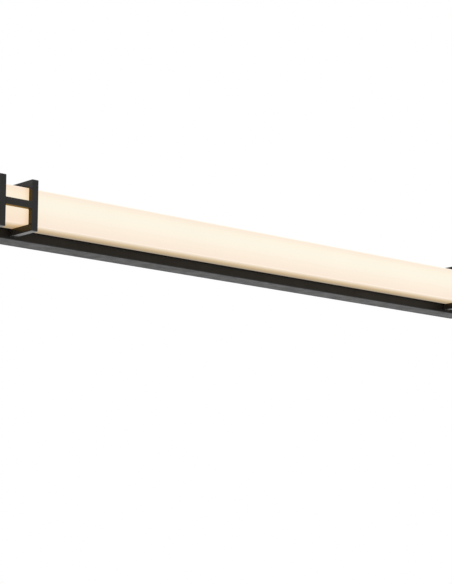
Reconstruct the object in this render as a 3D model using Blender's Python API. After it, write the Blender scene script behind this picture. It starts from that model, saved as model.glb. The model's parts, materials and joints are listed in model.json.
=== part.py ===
"""Vanity light bar: a long steel canopy on a wall rail, a lit opal diffuser on a black aluminium channel, and a
black cage at each end, made of two C-shaped hoops and a rung.

Metres. +X runs along the bar, -Y faces the room and +Z is up. The origin is the middle of the wall rail's back,
so the wall is the plane Y = 0. The supply lead is the installer's and isn't part of the fitting.
"""

import math

import bmesh
import bpy
from mathutils import Matrix, Vector

# ---- Driving sizes --------------------------------------------------------------------------------------------
LENGTH = 0.9660  # over the outer faces of the outer hoops
CAGE_HEIGHT = 0.0686
HOOP_REACH = 0.0507  # canopy's front to the hoop's front
BAR_WIDTH = 0.0095  # plate that the hoops are cut from
BAR_DEPTH = 0.0080  # upright and rung, front to back
ARM_HEIGHT = 0.0095  # limb above and below the diffuser
CAGE_WINDOW = 0.0414  # clear width between a cage's two hoops
HOOP_CORNER = 0.0012
HOOP_INNER_CORNER = 0.0010
EDGE_EASE = 0.00025  # painted edges of the cage

CANOPY_DEPTH = 0.0355
CANOPY_OVER_TOP = 0.0018  # canopy's top above the cage
CANOPY_OVER_BOTTOM = 0.0033  # canopy's underside below the cage
CANOPY_INSET = 0.0010  # canopy's end inside the outer hoop's outer face
CANOPY_SHEET = 0.0010
CANOPY_BEND = 0.0014  # outer bend radius
END_PLATE_TAB = 0.0080  # folded in along the channel's flanges

SEAT_GAP = 0.0003  # between pieces that rest on each other
SCREW_GAP = 0.00015  # all round a screw in its hole

DIFFUSER_WALL = 0.0020
DIFFUSER_CORNER = 0.0040
DIFFUSER_PLAY = 0.00035  # diffuser to the hoops round it
CHANNEL_BASE = 0.0032
CHANNEL_PEDESTAL = 0.0015
CHANNEL_WING = 0.0024
CHANNEL_WING_REACH = 0.0070
LIP_DEPTH = 0.0012  # diffuser's inward rib, held in the wing's groove
LIP_HEIGHT = 0.0018
LIP_FROM_EDGE = 0.0020
PORT_WIDTH = 0.0062  # solid rib under each wing, for the end caps' screws
PORT_REACH = 0.0068
PORT_PLAY = 0.0008  # LED board to the ports beside it
END_CAP = 0.0030

BOARD_COUNT = 4
BOARD_WIDTH = 0.0160
BOARD_THICKNESS = 0.0010
BOARD_GAP = 0.0080
LEDS_PER_BOARD = 16
LED_LENGTH = 0.0035
LED_WIDTH = 0.0028
LED_HEIGHT = 0.0008
JUMPER_OFFSET = 0.0045

RAIL_SHEET = 0.0020
RAIL_HEIGHT = 0.0500
RAIL_END_PLAY = 0.0005  # ear to the canopy's end wall
EAR_HEIGHT = 0.0240
EAR_DEPTH = 0.0190  # from the wall
EAR_SHEET = 0.0015
EAR_FOOT = 0.0200
WIRE_OPENING = (0.0200, 0.0300)
WIRE_OPENING_X = 0.0220
BOX_SLOT = (0.0140, 0.0048)
BOX_SLOT_X = 0.0415  # outlet box screws sit 70 to 95 mm apart
WALL_SLOT = (0.0200, 0.0062)
WALL_SLOT_X = (0.2032, 0.4000)  # the first pair is a 16 inch stud spacing

SIDE_SCREW_INSET = 0.0120  # from the wall
SIDE_SCREW_RADIUS = 0.00195
SIDE_SCREW_HEAD_RADIUS = 0.0040
SIDE_SCREW_HEAD = 0.0026
SIDE_SCREW_REACH = 0.0090
SIDE_SLOT_PLAY = 0.00035
NUT_RADIUS = 0.0036
NUT_SHANK_RADIUS = 0.0028
NUT_FLANGE = 0.0020

SCREW_RADIUS = 0.0015
SCREW_HEAD_RADIUS = 0.0028
SCREW_HEAD = 0.0019
HOOP_SCREW_REACH = 0.0100
HOOP_SCREW_HEAD_RADIUS = 0.0024
HOOP_SCREW_PLAY = 0.00035  # head to the canopy's end plate
PORT_SCREW_REACH = 0.0080
CHANNEL_SCREWS = 5
CHANNEL_SCREW_INSET = 0.0530  # from the fitting's end, to the first of them

DRIVER_LENGTH = 0.1360
DRIVER_HEIGHT = 0.0300
DRIVER_DEPTH = 0.0210
DRIVER_WALL = 0.0016
DRIVER_COVER = 0.0018
DRIVER_EAR = 0.0100
DRIVER_EAR_THICKNESS = 0.0020

BLOCK_START = -0.0780
BLOCK_SIZE = (0.0300, 0.0140, 0.0200)  # length, depth, height
BLOCK_POLES = 3
BLOCK_POLE_PITCH = 0.0062
BLOCK_MOUTH = 0.0016  # radius of a wire entry
BLOCK_MOUTH_DEPTH = 0.0060

GROMMET_BORE = 0.0022
GROMMET_NECK = 0.0034
GROMMET_FLANGE = 0.0048
GROMMET_RIM = 0.0013
EARTH_SCREW_AT = (-0.0220, -0.0200)  # X and Z on the canopy's front wall
RAIL_EARTH_AT = (-0.0600, 0.0180)

SUPPLY_LEAD_RADIUS = 0.0011
DC_LEAD_RADIUS = 0.0008

# ---- Sizes that follow ----------------------------------------------------------------------------------------
END_X = LENGTH / 2
CANOPY_END = END_X - CANOPY_INSET
CANOPY_FRONT = -CANOPY_DEPTH
CANOPY_INSIDE = CANOPY_FRONT + CANOPY_SHEET
CAGE_FRONT = CANOPY_FRONT - HOOP_REACH
CAGE_TOP = CAGE_HEIGHT / 2
CANOPY_TOP = CAGE_TOP + CANOPY_OVER_TOP
CANOPY_BOTTOM = -CAGE_TOP - CANOPY_OVER_BOTTOM
ARM_Z = CAGE_TOP - ARM_HEIGHT / 2
HOOP_BACK = CANOPY_FRONT - SEAT_GAP

DIFFUSER_FRONT = CAGE_FRONT + BAR_DEPTH + DIFFUSER_PLAY
DIFFUSER_TOP = CAGE_TOP - ARM_HEIGHT - DIFFUSER_PLAY
CHANNEL_BACK = CANOPY_FRONT - SEAT_GAP
CHANNEL_FRONT = CHANNEL_BACK - CHANNEL_BASE
DIFFUSER_BACK = CHANNEL_FRONT - SEAT_GAP
WING_TOP = DIFFUSER_TOP - DIFFUSER_WALL - SEAT_GAP
WING_UNDER = WING_TOP - CHANNEL_WING
PORT_UNDER = max(WING_UNDER - PORT_WIDTH, BOARD_WIDTH / 2 + PORT_PLAY)
PORT_Z = PORT_UNDER + PORT_WIDTH / 2
CHANNEL_END = END_X - END_CAP - SEAT_GAP
PORT_Y = CHANNEL_FRONT - PORT_REACH / 2
BOARD_BACK = CHANNEL_FRONT - CHANNEL_PEDESTAL - SEAT_GAP
BOARD_FRONT = BOARD_BACK - BOARD_THICKNESS
BOARD_PITCH = 2 * CHANNEL_END / BOARD_COUNT
BOARD_LENGTH = BOARD_PITCH - BOARD_GAP
GROMMET_X = BOARD_PITCH

RAIL_END = CANOPY_END - CANOPY_SHEET - RAIL_END_PLAY
DRIVER_BACK_FACE = CANOPY_INSIDE + SEAT_GAP
CHANNEL_SCREW_PITCH = 2 * (END_X - CHANNEL_SCREW_INSET) / (CHANNEL_SCREWS - 1)
DRIVER_START = (CHANNEL_SCREW_PITCH - DRIVER_LENGTH) / 2  # between the middle screw and the next
DRIVER_END = DRIVER_START + DRIVER_LENGTH
DRIVER_WIRE_Y = DRIVER_BACK_FACE + DRIVER_DEPTH * 0.45
BLOCK_END = BLOCK_START + BLOCK_SIZE[0]
BLOCK_WIRE_Y = CANOPY_INSIDE + SEAT_GAP + BLOCK_SIZE[1] * 0.4

AXIS_TURN = {  # turns a shape made along +Z to the named direction
    "+X": Matrix.Rotation(math.pi / 2, 4, "Y"),
    "-X": Matrix.Rotation(-math.pi / 2, 4, "Y"),
    "+Y": Matrix.Rotation(-math.pi / 2, 4, "X"),
    "-Y": Matrix.Rotation(math.pi / 2, 4, "X"),
}

PAINTS = {  # colour, roughness, metallic
    "cage_paint": ((0.030, 0.030, 0.031), 0.45, 0.0),
    "canopy_paint": ((0.022, 0.020, 0.019), 0.60, 0.0),
    "opal": ((0.98, 0.93, 0.80), 0.35, 0.0),
    "zinc": ((0.62, 0.62, 0.60), 0.40, 1.0),
    "black_aluminium": ((0.03, 0.03, 0.03), 0.40, 1.0),
    "black_screw": ((0.03, 0.03, 0.03), 0.35, 1.0),
    "board": ((0.90, 0.90, 0.86), 0.45, 0.0),
    "nylon": ((0.86, 0.85, 0.80), 0.50, 0.0),
    "driver_plastic": ((0.80, 0.80, 0.78), 0.45, 0.0),
    "circuit": ((0.05, 0.22, 0.10), 0.50, 0.0),
    "rubber": ((0.02, 0.02, 0.02), 0.80, 0.0),
    "lead_black": ((0.02, 0.02, 0.02), 0.45, 0.0),
    "lead_white": ((0.85, 0.85, 0.83), 0.45, 0.0),
    "lead_green": ((0.03, 0.28, 0.07), 0.45, 0.0),
    "lead_red": ((0.55, 0.03, 0.02), 0.45, 0.0),
    "brass": ((0.75, 0.58, 0.28), 0.30, 1.0),
}


# ---- Tools ----------------------------------------------------------------------------------------------------
def clear_scene():
    for old in list(bpy.data.objects):
        bpy.data.objects.remove(old)


def paint(name):
    found = bpy.data.materials.get(name)
    if found:
        return found
    colour, roughness, metallic = PAINTS[name]
    made = bpy.data.materials.new(name)
    made.use_nodes = True
    shader = made.node_tree.nodes["Principled BSDF"]
    shader.inputs["Base Color"].default_value = (*colour, 1.0)
    shader.inputs["Roughness"].default_value = roughness
    shader.inputs["Metallic"].default_value = metallic
    return made


def empty(name, parent=None):
    made = bpy.data.objects.new(name, None)
    bpy.context.scene.collection.objects.link(made)
    made.parent = parent
    return made


def add(name, shape, material, parent=None, location=(0, 0, 0), round_faces=False):
    """Turns the bmesh into a named object; shape is used up."""
    bmesh.ops.recalc_face_normals(shape, faces=shape.faces)
    if shape.calc_volume(signed=True) < 0:
        bmesh.ops.reverse_faces(shape, faces=shape.faces)
    mesh = bpy.data.meshes.new(name)
    shape.to_mesh(mesh)
    shape.free()
    return add_mesh(name, mesh, material, parent, location, round_faces)


def add_mesh(name, mesh, material, parent=None, location=(0, 0, 0), round_faces=False):
    if round_faces:
        mesh.shade_smooth()
        mesh.set_sharp_from_angle(angle=math.radians(35))
    made = bpy.data.objects.new(name, mesh)
    if not mesh.materials:
        mesh.materials.append(paint(material))
    bpy.context.scene.collection.objects.link(made)
    made.parent = parent
    made.location = location
    return made


def helper(name, shape):
    """A cutter or a joined-on shape, which isn't itself part of the object."""
    made = add(name, shape, "zinc")
    made.hide_render = True
    made.display_type = "WIRE"
    return made


def boolean(target, other, operation="DIFFERENCE"):
    made = target.modifiers.new(operation.title() + "_" + other.name, "BOOLEAN")
    made.operation = operation
    made.solver = "EXACT"
    made.use_self = True
    made.object = other


def ease(target, width, segments=1, angle=40):
    made = target.modifiers.new("Ease", "BEVEL")
    made.width = width
    made.segments = segments
    made.limit_method = "ANGLE"
    made.angle_limit = math.radians(angle)


def box(low, high, into=None):
    """Adds a box between two corners."""
    shape = into or bmesh.new()
    size = Vector(high) - Vector(low)
    place = Matrix.Translation((Vector(low) + Vector(high)) / 2) @ Matrix.Diagonal((*size, 1))
    bmesh.ops.create_cube(shape, size=1, matrix=place)
    return shape


def rod(start, direction, length, radius, into=None, sides=16):
    """Adds a cylinder from a point along one of the named directions."""
    shape = into or bmesh.new()
    place = Matrix.Translation(start) @ AXIS_TURN[direction] @ Matrix.Translation((0, 0, length / 2))
    bmesh.ops.create_cone(
        shape, cap_ends=True, segments=sides, radius1=radius, radius2=radius, depth=length, matrix=place
    )
    return shape


def turned(profile, direction="+X", sides=16):
    """A closed solid of revolution. The profile is (along, radius) pairs, starting and ending on the axis
    for a pin, or closed on itself for a ring."""
    shape = bmesh.new()
    ring = profile[0][1] > 0
    points = [shape.verts.new((radius, 0, along)) for along, radius in profile]
    pairs = list(zip(points, points[1:]))
    if ring:
        pairs.append((points[-1], points[0]))
    edges = [shape.edges.new(pair) for pair in pairs]
    bmesh.ops.spin(
        shape, geom=points + edges, cent=(0, 0, 0), axis=(0, 0, 1), angle=2 * math.pi, steps=sides,
        use_merge=True,
    )
    bmesh.ops.remove_doubles(shape, verts=shape.verts, dist=1e-6)
    shape.transform(AXIS_TURN[direction])
    return shape


def arc(centre, radius, start, end, steps):
    """Points on an arc, angles in degrees."""
    angles = [math.radians(start + (end - start) * i / steps) for i in range(steps + 1)]
    return [(centre[0] + radius * math.cos(a), centre[1] + radius * math.sin(a)) for a in angles]


def prism(outline, start, end):
    """Extrudes a closed outline of (Y, Z) points along X."""
    shape = bmesh.new()
    face = shape.faces.new([shape.verts.new((start, y, z)) for y, z in outline])
    moved = bmesh.ops.extrude_face_region(shape, geom=[face])["geom"]
    points = [g for g in moved if isinstance(g, bmesh.types.BMVert)]
    bmesh.ops.translate(shape, verts=points, vec=(end - start, 0, 0))
    return shape


def mirrored(upper):
    """An outline's upper half, given from back to front, with its mirror image below."""
    return upper + [(y, -z) for y, z in reversed(upper)]


def slot_cutter(centre, size, depth, into, steps=6):
    """A round-ended slot, long in X, that cuts through a sheet lying in the XZ plane."""
    radius = size[1] / 2
    half = size[0] / 2 - radius
    right = arc((centre[0] + half, centre[1]), radius, -90, 90, steps)
    left = arc((centre[0] - half, centre[1]), radius, 90, 270, steps)
    face = into.faces.new([into.verts.new((x, -depth, z)) for x, z in right + left])
    moved = bmesh.ops.extrude_face_region(into, geom=[face])["geom"]
    points = [g for g in moved if isinstance(g, bmesh.types.BMVert)]
    bmesh.ops.translate(into, verts=points, vec=(0, 2 * depth, 0))


def smooth_route(stops, step):
    """Points about one step apart on a smooth curve through the stops."""
    stops = [Vector(s) for s in stops]
    padded = [2 * stops[0] - stops[1], *stops, 2 * stops[-1] - stops[-2]]
    route = [stops[0]]
    for before, start, end, after in zip(padded, padded[1:], padded[2:], padded[3:]):
        count = max(1, round((end - start).length / step))
        for i in range(1, count + 1):
            t = i / count
            route.append(
                0.5
                * (
                    2 * start
                    + (end - before) * t
                    + (2 * before - 5 * start + 4 * end - after) * t**2
                    + (3 * start - before - 3 * end + after) * t**3
                )
            )
    return route


def lead(name, stops, radius, material, parent):
    """An insulated wire along a smooth route through its stops."""
    route = smooth_route(stops, 5 * radius)
    curve = bpy.data.curves.new(name, "CURVE")
    curve.dimensions = "3D"
    curve.bevel_depth = radius
    curve.bevel_resolution = 2
    curve.use_fill_caps = True
    spline = curve.splines.new("POLY")
    spline.points.add(len(route) - 1)
    for point, place in zip(spline.points, route):
        point.co = (*place, 1)
    curve.materials.append(paint(material))
    made = bpy.data.objects.new(name, curve)
    bpy.context.scene.collection.objects.link(made)
    made.parent = parent
    return made


def pan_screw(name, seat, direction, reach, material, parent, radius=SCREW_RADIUS,
              head_radius=SCREW_HEAD_RADIUS, head=SCREW_HEAD):
    """A pan head screw. Seat is where the head's underside meets the work; the shank runs on along direction."""
    tip = 0.4 * radius
    profile = [
        (-head, 0),
        (-head, 0.55 * head_radius),
        (-0.72 * head, 0.88 * head_radius),
        (-0.30 * head, head_radius),
        (0, head_radius),
        (0, radius),
        (reach - tip, radius),
        (reach, radius - tip),
        (reach, 0),
    ]
    return add(name, turned(profile, direction, sides=14), material, parent, seat, round_faces=True)


# ---- Wall side ------------------------------------------------------------------------------------------------
def build_rail(wall):
    """Steel strip that screws to the wall and the outlet box."""
    half = RAIL_HEIGHT / 2
    shape = box((-RAIL_END, -RAIL_SHEET, -half), (RAIL_END, 0, half))
    rail = add("mounting_rail", shape, "zinc", wall)
    cuts = bmesh.new()
    for side in (-1, 1):
        opening_x = side * WIRE_OPENING_X
        box(
            (opening_x - WIRE_OPENING[0] / 2, -2 * RAIL_SHEET, -WIRE_OPENING[1] / 2),
            (opening_x + WIRE_OPENING[0] / 2, 2 * RAIL_SHEET, WIRE_OPENING[1] / 2),
            cuts,
        )
        slot_cutter((side * BOX_SLOT_X, 0), BOX_SLOT, 2 * RAIL_SHEET, cuts)
        for x in WALL_SLOT_X:
            slot_cutter((side * x, 0), WALL_SLOT, 2 * RAIL_SHEET, cuts)
    rod(
        (RAIL_EARTH_AT[0], -2 * RAIL_SHEET, RAIL_EARTH_AT[1]), "+Y", 4 * RAIL_SHEET,
        SCREW_RADIUS + SCREW_GAP, cuts,
    )
    boolean(rail, helper("rail_cuts", cuts))


def build_ear(side, word, wall):
    """Angle bracket welded to the rail's end, which the canopy's end plate is clamped to."""
    back = -RAIL_SHEET - SEAT_GAP
    half = EAR_HEIGHT / 2
    foot = sorted((side * (RAIL_END - EAR_FOOT), side * RAIL_END))
    upright = sorted((side * (RAIL_END - EAR_SHEET), side * RAIL_END))
    shape = box((foot[0], back - EAR_SHEET, -half), (foot[1], back, half))
    ear = add(f"rail_ear_{word}", shape, "zinc", wall)
    stand = box((upright[0], -EAR_DEPTH, -half), (upright[1], back - EAR_SHEET / 2, half))
    boolean(ear, helper(f"ear_upright_{word}", stand), "UNION")
    low = side * RAIL_END - 2 * EAR_SHEET
    hole = rod((low, -SIDE_SCREW_INSET, 0), "+X", 4 * EAR_SHEET, NUT_SHANK_RADIUS + SCREW_GAP)
    boolean(ear, helper(f"ear_hole_{word}", hole))


def build_ear_nut(side, word, wall):
    """Clinch nut pressed into the rail's ear."""
    bore = SIDE_SCREW_RADIUS + SCREW_GAP
    shank = EAR_SHEET + SEAT_GAP - SCREW_GAP
    profile = [
        (0, bore), (NUT_FLANGE + shank, bore), (NUT_FLANGE + shank, NUT_SHANK_RADIUS),
        (NUT_FLANGE, NUT_SHANK_RADIUS), (NUT_FLANGE, NUT_RADIUS), (0, NUT_RADIUS),
    ]
    start = RAIL_END - EAR_SHEET - SEAT_GAP - NUT_FLANGE
    shape = turned(profile, "+X" if side > 0 else "-X")
    add(f"rail_nut_{word}", shape, "zinc", wall, (side * start, -SIDE_SCREW_INSET, 0), round_faces=True)


def build_side_screw(side, word):
    """Screw that clamps the canopy's end plate to the rail's ear."""
    pan_screw(
        f"side_screw_{word}", (side * (CANOPY_END + SEAT_GAP), -SIDE_SCREW_INSET, 0),
        "-X" if side > 0 else "+X", SIDE_SCREW_REACH, "black_screw", None,
        SIDE_SCREW_RADIUS, SIDE_SCREW_HEAD_RADIUS, SIDE_SCREW_HEAD,
    )


# ---- Canopy ---------------------------------------------------------------------------------------------------
def canopy_holes():
    """Everything that is cut from the canopy."""
    cuts = bmesh.new()
    start = CANOPY_FRONT - 2 * CANOPY_SHEET
    depth = 4 * CANOPY_SHEET
    fits = SCREW_RADIUS + SCREW_GAP
    for x in arm_places():
        for z in (-ARM_Z, ARM_Z):
            rod((hoop_screw_x(x), start, z), "+Y", depth, fits, cuts)
    for x in channel_screw_places():
        rod((x, start, 0), "+Y", depth, fits, cuts)
    for x, z in (*driver_screw_places(), (block_screw_x(), 0), EARTH_SCREW_AT):
        rod((x, start, z), "+Y", depth, fits, cuts)
    rod((GROMMET_X, start, 0), "+Y", depth, GROMMET_NECK + SCREW_GAP, cuts)
    return cuts


def build_canopy(fitting):
    """Channel folded from steel sheet, open towards the wall."""
    shape = box((-CANOPY_END, CANOPY_FRONT, CANOPY_BOTTOM), (CANOPY_END, 0, CANOPY_TOP))
    open_faces = [f for f in shape.faces if f.normal.y > 0.5 or abs(f.normal.x) > 0.5]
    bmesh.ops.delete(shape, geom=open_faces, context="FACES_ONLY")
    folds = [e for e in shape.edges if not e.is_boundary]
    bmesh.ops.bevel(
        shape, geom=folds, offset=CANOPY_BEND, segments=4, profile=0.5, affect="EDGES", clamp_overlap=True
    )
    canopy = add("canopy", shape, "canopy_paint", fitting, round_faces=True)
    sheet = canopy.modifiers.new("Sheet", "SOLIDIFY")
    sheet.thickness = CANOPY_SHEET
    sheet.offset = -1
    sheet.use_even_offset = True
    boolean(canopy, helper("canopy_cuts", canopy_holes()))


def build_end_plate(side, word, fitting):
    """Plate that closes the channel's end, with a tab welded inside each flange and an open slot for the
    side screw."""
    front = CANOPY_INSIDE + SEAT_GAP
    top = CANOPY_TOP - CANOPY_SHEET - SEAT_GAP
    bottom = CANOPY_BOTTOM + CANOPY_SHEET + SEAT_GAP
    face = sorted((side * (CANOPY_END - CANOPY_SHEET), side * CANOPY_END))
    tab = sorted((side * (CANOPY_END - END_PLATE_TAB), side * (CANOPY_END - CANOPY_SHEET / 2)))
    shape = box((face[0], front, bottom), (face[1], 0, top))
    plate = add(f"canopy_end_{word}", shape, "canopy_paint", fitting)
    tabs = bmesh.new()
    for under, over in ((top - CANOPY_SHEET, top), (bottom, bottom + CANOPY_SHEET)):
        box((tab[0], front + CANOPY_BEND, under), (tab[1], -CANOPY_SHEET, over), tabs)
    boolean(plate, helper(f"end_tabs_{word}", tabs), "UNION")
    half = SIDE_SCREW_RADIUS + SIDE_SLOT_PLAY
    low, high = face[0] - CANOPY_SHEET, face[1] + CANOPY_SHEET
    slot = box((low, -SIDE_SCREW_INSET, -half), (high, CANOPY_SHEET, half))
    rod((low, -SIDE_SCREW_INSET, 0), "+X", high - low, half, slot)
    boolean(plate, helper(f"end_slot_{word}", slot))


# ---- Cages ----------------------------------------------------------------------------------------------------
def arm_places():
    """Middle of each hoop along X: left outer, left inner, right inner, right outer."""
    outer = END_X - BAR_WIDTH / 2
    inner = outer - CAGE_WINDOW - BAR_WIDTH
    return (-outer, -inner, inner, outer)


def hoop_screw_x(x):
    """A hoop's screws are in the middle of its bar, or as near that as the canopy's end plate lets their heads."""
    furthest = CANOPY_END - CANOPY_SHEET - HOOP_SCREW_HEAD_RADIUS - HOOP_SCREW_PLAY
    return math.copysign(min(abs(x), furthest), x)


def hoop_outline():
    """C shape in the YZ plane: two arms from the canopy and an upright in front."""
    front, inside = CAGE_FRONT, CAGE_FRONT + BAR_DEPTH
    under = CAGE_TOP - ARM_HEIGHT
    outer = arc((front + HOOP_CORNER, CAGE_TOP - HOOP_CORNER), HOOP_CORNER, 90, 180, 5)
    inner = arc((inside + HOOP_INNER_CORNER, under - HOOP_INNER_CORNER), HOOP_INNER_CORNER, 180, 90, 3)
    top_half = [(HOOP_BACK, CAGE_TOP), *outer]
    underside = [*inner, (HOOP_BACK, under)]
    return (
        top_half
        + [(y, -z) for y, z in reversed(top_half)]
        + [(y, -z) for y, z in reversed(underside)]
        + underside
    )


def build_hoop(name, x, window_side, fitting):
    shape = prism(hoop_outline(), -BAR_WIDTH / 2, BAR_WIDTH / 2)
    hoop = add(name, shape, "cage_paint", fitting, (x, 0, 0), round_faces=True)
    ease(hoop, EDGE_EASE)
    cuts = bmesh.new()
    for z in (-ARM_Z, ARM_Z):
        rod(
            (hoop_screw_x(x), HOOP_BACK + SEAT_GAP, z), "-Y", HOOP_SCREW_REACH + SEAT_GAP,
            SCREW_RADIUS + SCREW_GAP, cuts,
        )
    start = x + window_side * (BAR_WIDTH / 2 + SEAT_GAP)
    back = "-X" if window_side > 0 else "+X"
    rod(
        (start, CAGE_FRONT + BAR_DEPTH / 2, 0), back, spigot_reach() + 2 * SEAT_GAP,
        spigot_radius() + SCREW_GAP, cuts,
    )
    boolean(hoop, helper(f"{name}_cuts", cuts))


def spigot_radius():
    return BAR_DEPTH * 0.3


def spigot_reach():
    return BAR_WIDTH * 0.4


def build_rung(name, middle, fitting):
    """Cross bar between a cage's hoops, level with their fronts, with a spigot in each of them."""
    half = CAGE_WINDOW / 2 - SEAT_GAP
    shape = box(
        (-half, CAGE_FRONT, -BAR_WIDTH / 2), (half, CAGE_FRONT + BAR_DEPTH, BAR_WIDTH / 2)
    )
    rung = add(name, shape, "cage_paint", fitting, (middle, 0, 0))
    ease(rung, EDGE_EASE)
    reach = half + SEAT_GAP + spigot_reach()
    pin = rod((middle - reach, CAGE_FRONT + BAR_DEPTH / 2, 0), "+X", 2 * reach, spigot_radius())
    boolean(rung, helper(f"{name}_spigots", pin), "UNION")


def build_cages(fitting):
    places = arm_places()
    for word, outer, inner in (("left", places[0], places[1]), ("right", places[3], places[2])):
        towards_inner = 1 if inner > outer else -1
        build_hoop(f"hoop_{word}_outer", outer, towards_inner, fitting)
        build_hoop(f"hoop_{word}_inner", inner, -towards_inner, fitting)
        build_rung(f"rung_{word}", (outer + inner) / 2, fitting)
        for part, x in (("outer", outer), ("inner", inner)):
            for level, z in (("top", ARM_Z), ("bottom", -ARM_Z)):
                pan_screw(
                    f"hoop_screw_{word}_{part}_{level}",
                    (hoop_screw_x(x), CANOPY_INSIDE + SCREW_GAP, z), "-Y", HOOP_SCREW_REACH, "zinc",
                    fitting, head_radius=HOOP_SCREW_HEAD_RADIUS,
                )


# ---- Light engine ---------------------------------------------------------------------------------------------
def channel_screw_places():
    """X of the screws that hold the channel to the canopy, evenly spaced."""
    return [(i - (CHANNEL_SCREWS - 1) / 2) * CHANNEL_SCREW_PITCH for i in range(CHANNEL_SCREWS)]


def groove_span():
    """Y of the groove's two walls in the channel's wing, from back to front."""
    back = DIFFUSER_BACK - LIP_FROM_EDGE
    return back + SEAT_GAP, back - LIP_HEIGHT - SEAT_GAP


def channel_outline():
    """Upper half, from the back, of the extruded channel: base, wing with groove, port and pedestal."""
    wing_front = CHANNEL_FRONT - CHANNEL_WING_REACH
    groove_back, groove_front = groove_span()
    groove_floor = WING_TOP - LIP_DEPTH
    port_front = CHANNEL_FRONT - PORT_REACH
    pedestal = BOARD_WIDTH / 2 + SEAT_GAP
    return [
        (CHANNEL_BACK, DIFFUSER_TOP),
        (CHANNEL_FRONT, DIFFUSER_TOP),
        (CHANNEL_FRONT, WING_TOP),
        (groove_back, WING_TOP),
        (groove_back, groove_floor),
        (groove_front, groove_floor),
        (groove_front, WING_TOP),
        (wing_front, WING_TOP),
        (wing_front, WING_UNDER),
        (port_front, WING_UNDER),
        (port_front, PORT_UNDER),
        (CHANNEL_FRONT, PORT_UNDER),
        (CHANNEL_FRONT, pedestal),
        (CHANNEL_FRONT - CHANNEL_PEDESTAL, pedestal),
    ]


def build_channel(fitting):
    """Aluminium extrusion that carries the LED boards, cools them and holds the diffuser."""
    shape = prism(mirrored(channel_outline()), -CHANNEL_END, CHANNEL_END)
    channel = add("led_channel", shape, "black_aluminium", fitting)
    cuts = bmesh.new()
    thick = CHANNEL_BASE + CHANNEL_PEDESTAL
    for x in channel_screw_places():
        rod(
            (x, CHANNEL_BACK + SEAT_GAP, 0), "-Y", thick + 2 * SEAT_GAP, SCREW_RADIUS + SCREW_GAP, cuts
        )
    rod(
        (GROMMET_X, CHANNEL_BACK + SEAT_GAP, 0), "-Y", thick + 2 * SEAT_GAP,
        GROMMET_FLANGE + SEAT_GAP, cuts,
    )
    for side, back in ((-1, "+X"), (1, "-X")):
        for z in (-PORT_Z, PORT_Z):
            rod(
                (side * (CHANNEL_END + SEAT_GAP), PORT_Y, z), back, PORT_SCREW_REACH + SEAT_GAP,
                SCREW_RADIUS + SCREW_GAP, cuts,
            )
    boolean(channel, helper("channel_cuts", cuts))
    for i, x in enumerate(channel_screw_places(), 1):
        reach = CANOPY_SHEET + CHANNEL_BASE + SCREW_GAP
        pan_screw(f"channel_screw_{i}", (x, CANOPY_INSIDE + SCREW_GAP, 0), "-Y", reach, "zinc", fitting)


def build_board(number, fitting):
    """LED module: a strip with its packages, made as one strip of cells whose LED cells stand proud."""
    pitch = BOARD_LENGTH / LEDS_PER_BOARD
    stops = [0.0]
    for i in range(LEDS_PER_BOARD):
        middle = (i + 0.5) * pitch
        stops += [middle - LED_LENGTH / 2, middle + LED_LENGTH / 2]
    stops.append(BOARD_LENGTH)
    levels = (-BOARD_WIDTH / 2, -LED_WIDTH / 2, LED_WIDTH / 2, BOARD_WIDTH / 2)
    shape = bmesh.new()
    grid = [[shape.verts.new((x - BOARD_LENGTH / 2, 0, z)) for z in levels] for x in stops]
    leds = []
    for i, (left, right) in enumerate(zip(grid, grid[1:])):
        for j in range(3):
            face = shape.faces.new((left[j], right[j], right[j + 1], left[j + 1]))
            if j == 1 and i % 2 == 1:
                leds.append(face)
    rim = [e for e in shape.edges if e.is_boundary]
    sides = bmesh.ops.extrude_edge_only(shape, edges=rim)["geom"]
    back = [g for g in sides if isinstance(g, bmesh.types.BMVert)]
    bmesh.ops.translate(shape, verts=back, vec=(0, BOARD_THICKNESS, 0))
    bmesh.ops.contextual_create(shape, geom=[e for e in shape.edges if e.is_boundary])
    for face in leds:
        top = bmesh.ops.extrude_discrete_faces(shape, faces=[face])["faces"][0]
        bmesh.ops.translate(shape, verts=top.verts, vec=(0, -LED_HEIGHT, 0))
    x = (number - (BOARD_COUNT + 1) / 2) * BOARD_PITCH
    add(f"led_board_{number}", shape, "board", fitting, (x, BOARD_FRONT, 0))


def build_jumper(number, fitting):
    """Link between two boards, across the gap."""
    x = (number - BOARD_COUNT / 2) * BOARD_PITCH
    half = BOARD_GAP / 2 + 0.003
    thickness = 0.0012
    height = 0.0024
    low = (-half, -thickness, -height / 2)
    shape = box(low, (half, 0, height / 2))
    place = (x, BOARD_FRONT - SEAT_GAP, JUMPER_OFFSET)
    ease(add(f"board_jumper_{number}", shape, "nylon", fitting, place), EDGE_EASE / 2)


def diffuser_outline():
    """Upper half, from its back edge, of the outside and then the inside of the U-shaped diffuser."""
    corner = (DIFFUSER_FRONT + DIFFUSER_CORNER, DIFFUSER_TOP - DIFFUSER_CORNER)
    outside = [(DIFFUSER_BACK, DIFFUSER_TOP), *arc(corner, DIFFUSER_CORNER, 90, 180, 6)]
    inner_top = DIFFUSER_TOP - DIFFUSER_WALL
    lip = inner_top - LIP_DEPTH
    lip_back = DIFFUSER_BACK - LIP_FROM_EDGE
    inside = [
        (DIFFUSER_BACK, inner_top),
        (lip_back, inner_top),
        (lip_back, lip),
        (lip_back - LIP_HEIGHT, lip),
        (lip_back - LIP_HEIGHT, inner_top),
        *arc(corner, DIFFUSER_CORNER - DIFFUSER_WALL, 90, 180, 6),
    ]
    return mirrored(outside) + [(y, -z) for y, z in inside] + list(reversed(inside))


def build_diffuser(fitting):
    """Opal acrylic extrusion that slides on to the channel from one end."""
    shape = prism(diffuser_outline(), -CHANNEL_END, CHANNEL_END)
    add("diffuser", shape, "opal", fitting, round_faces=True)


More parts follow.
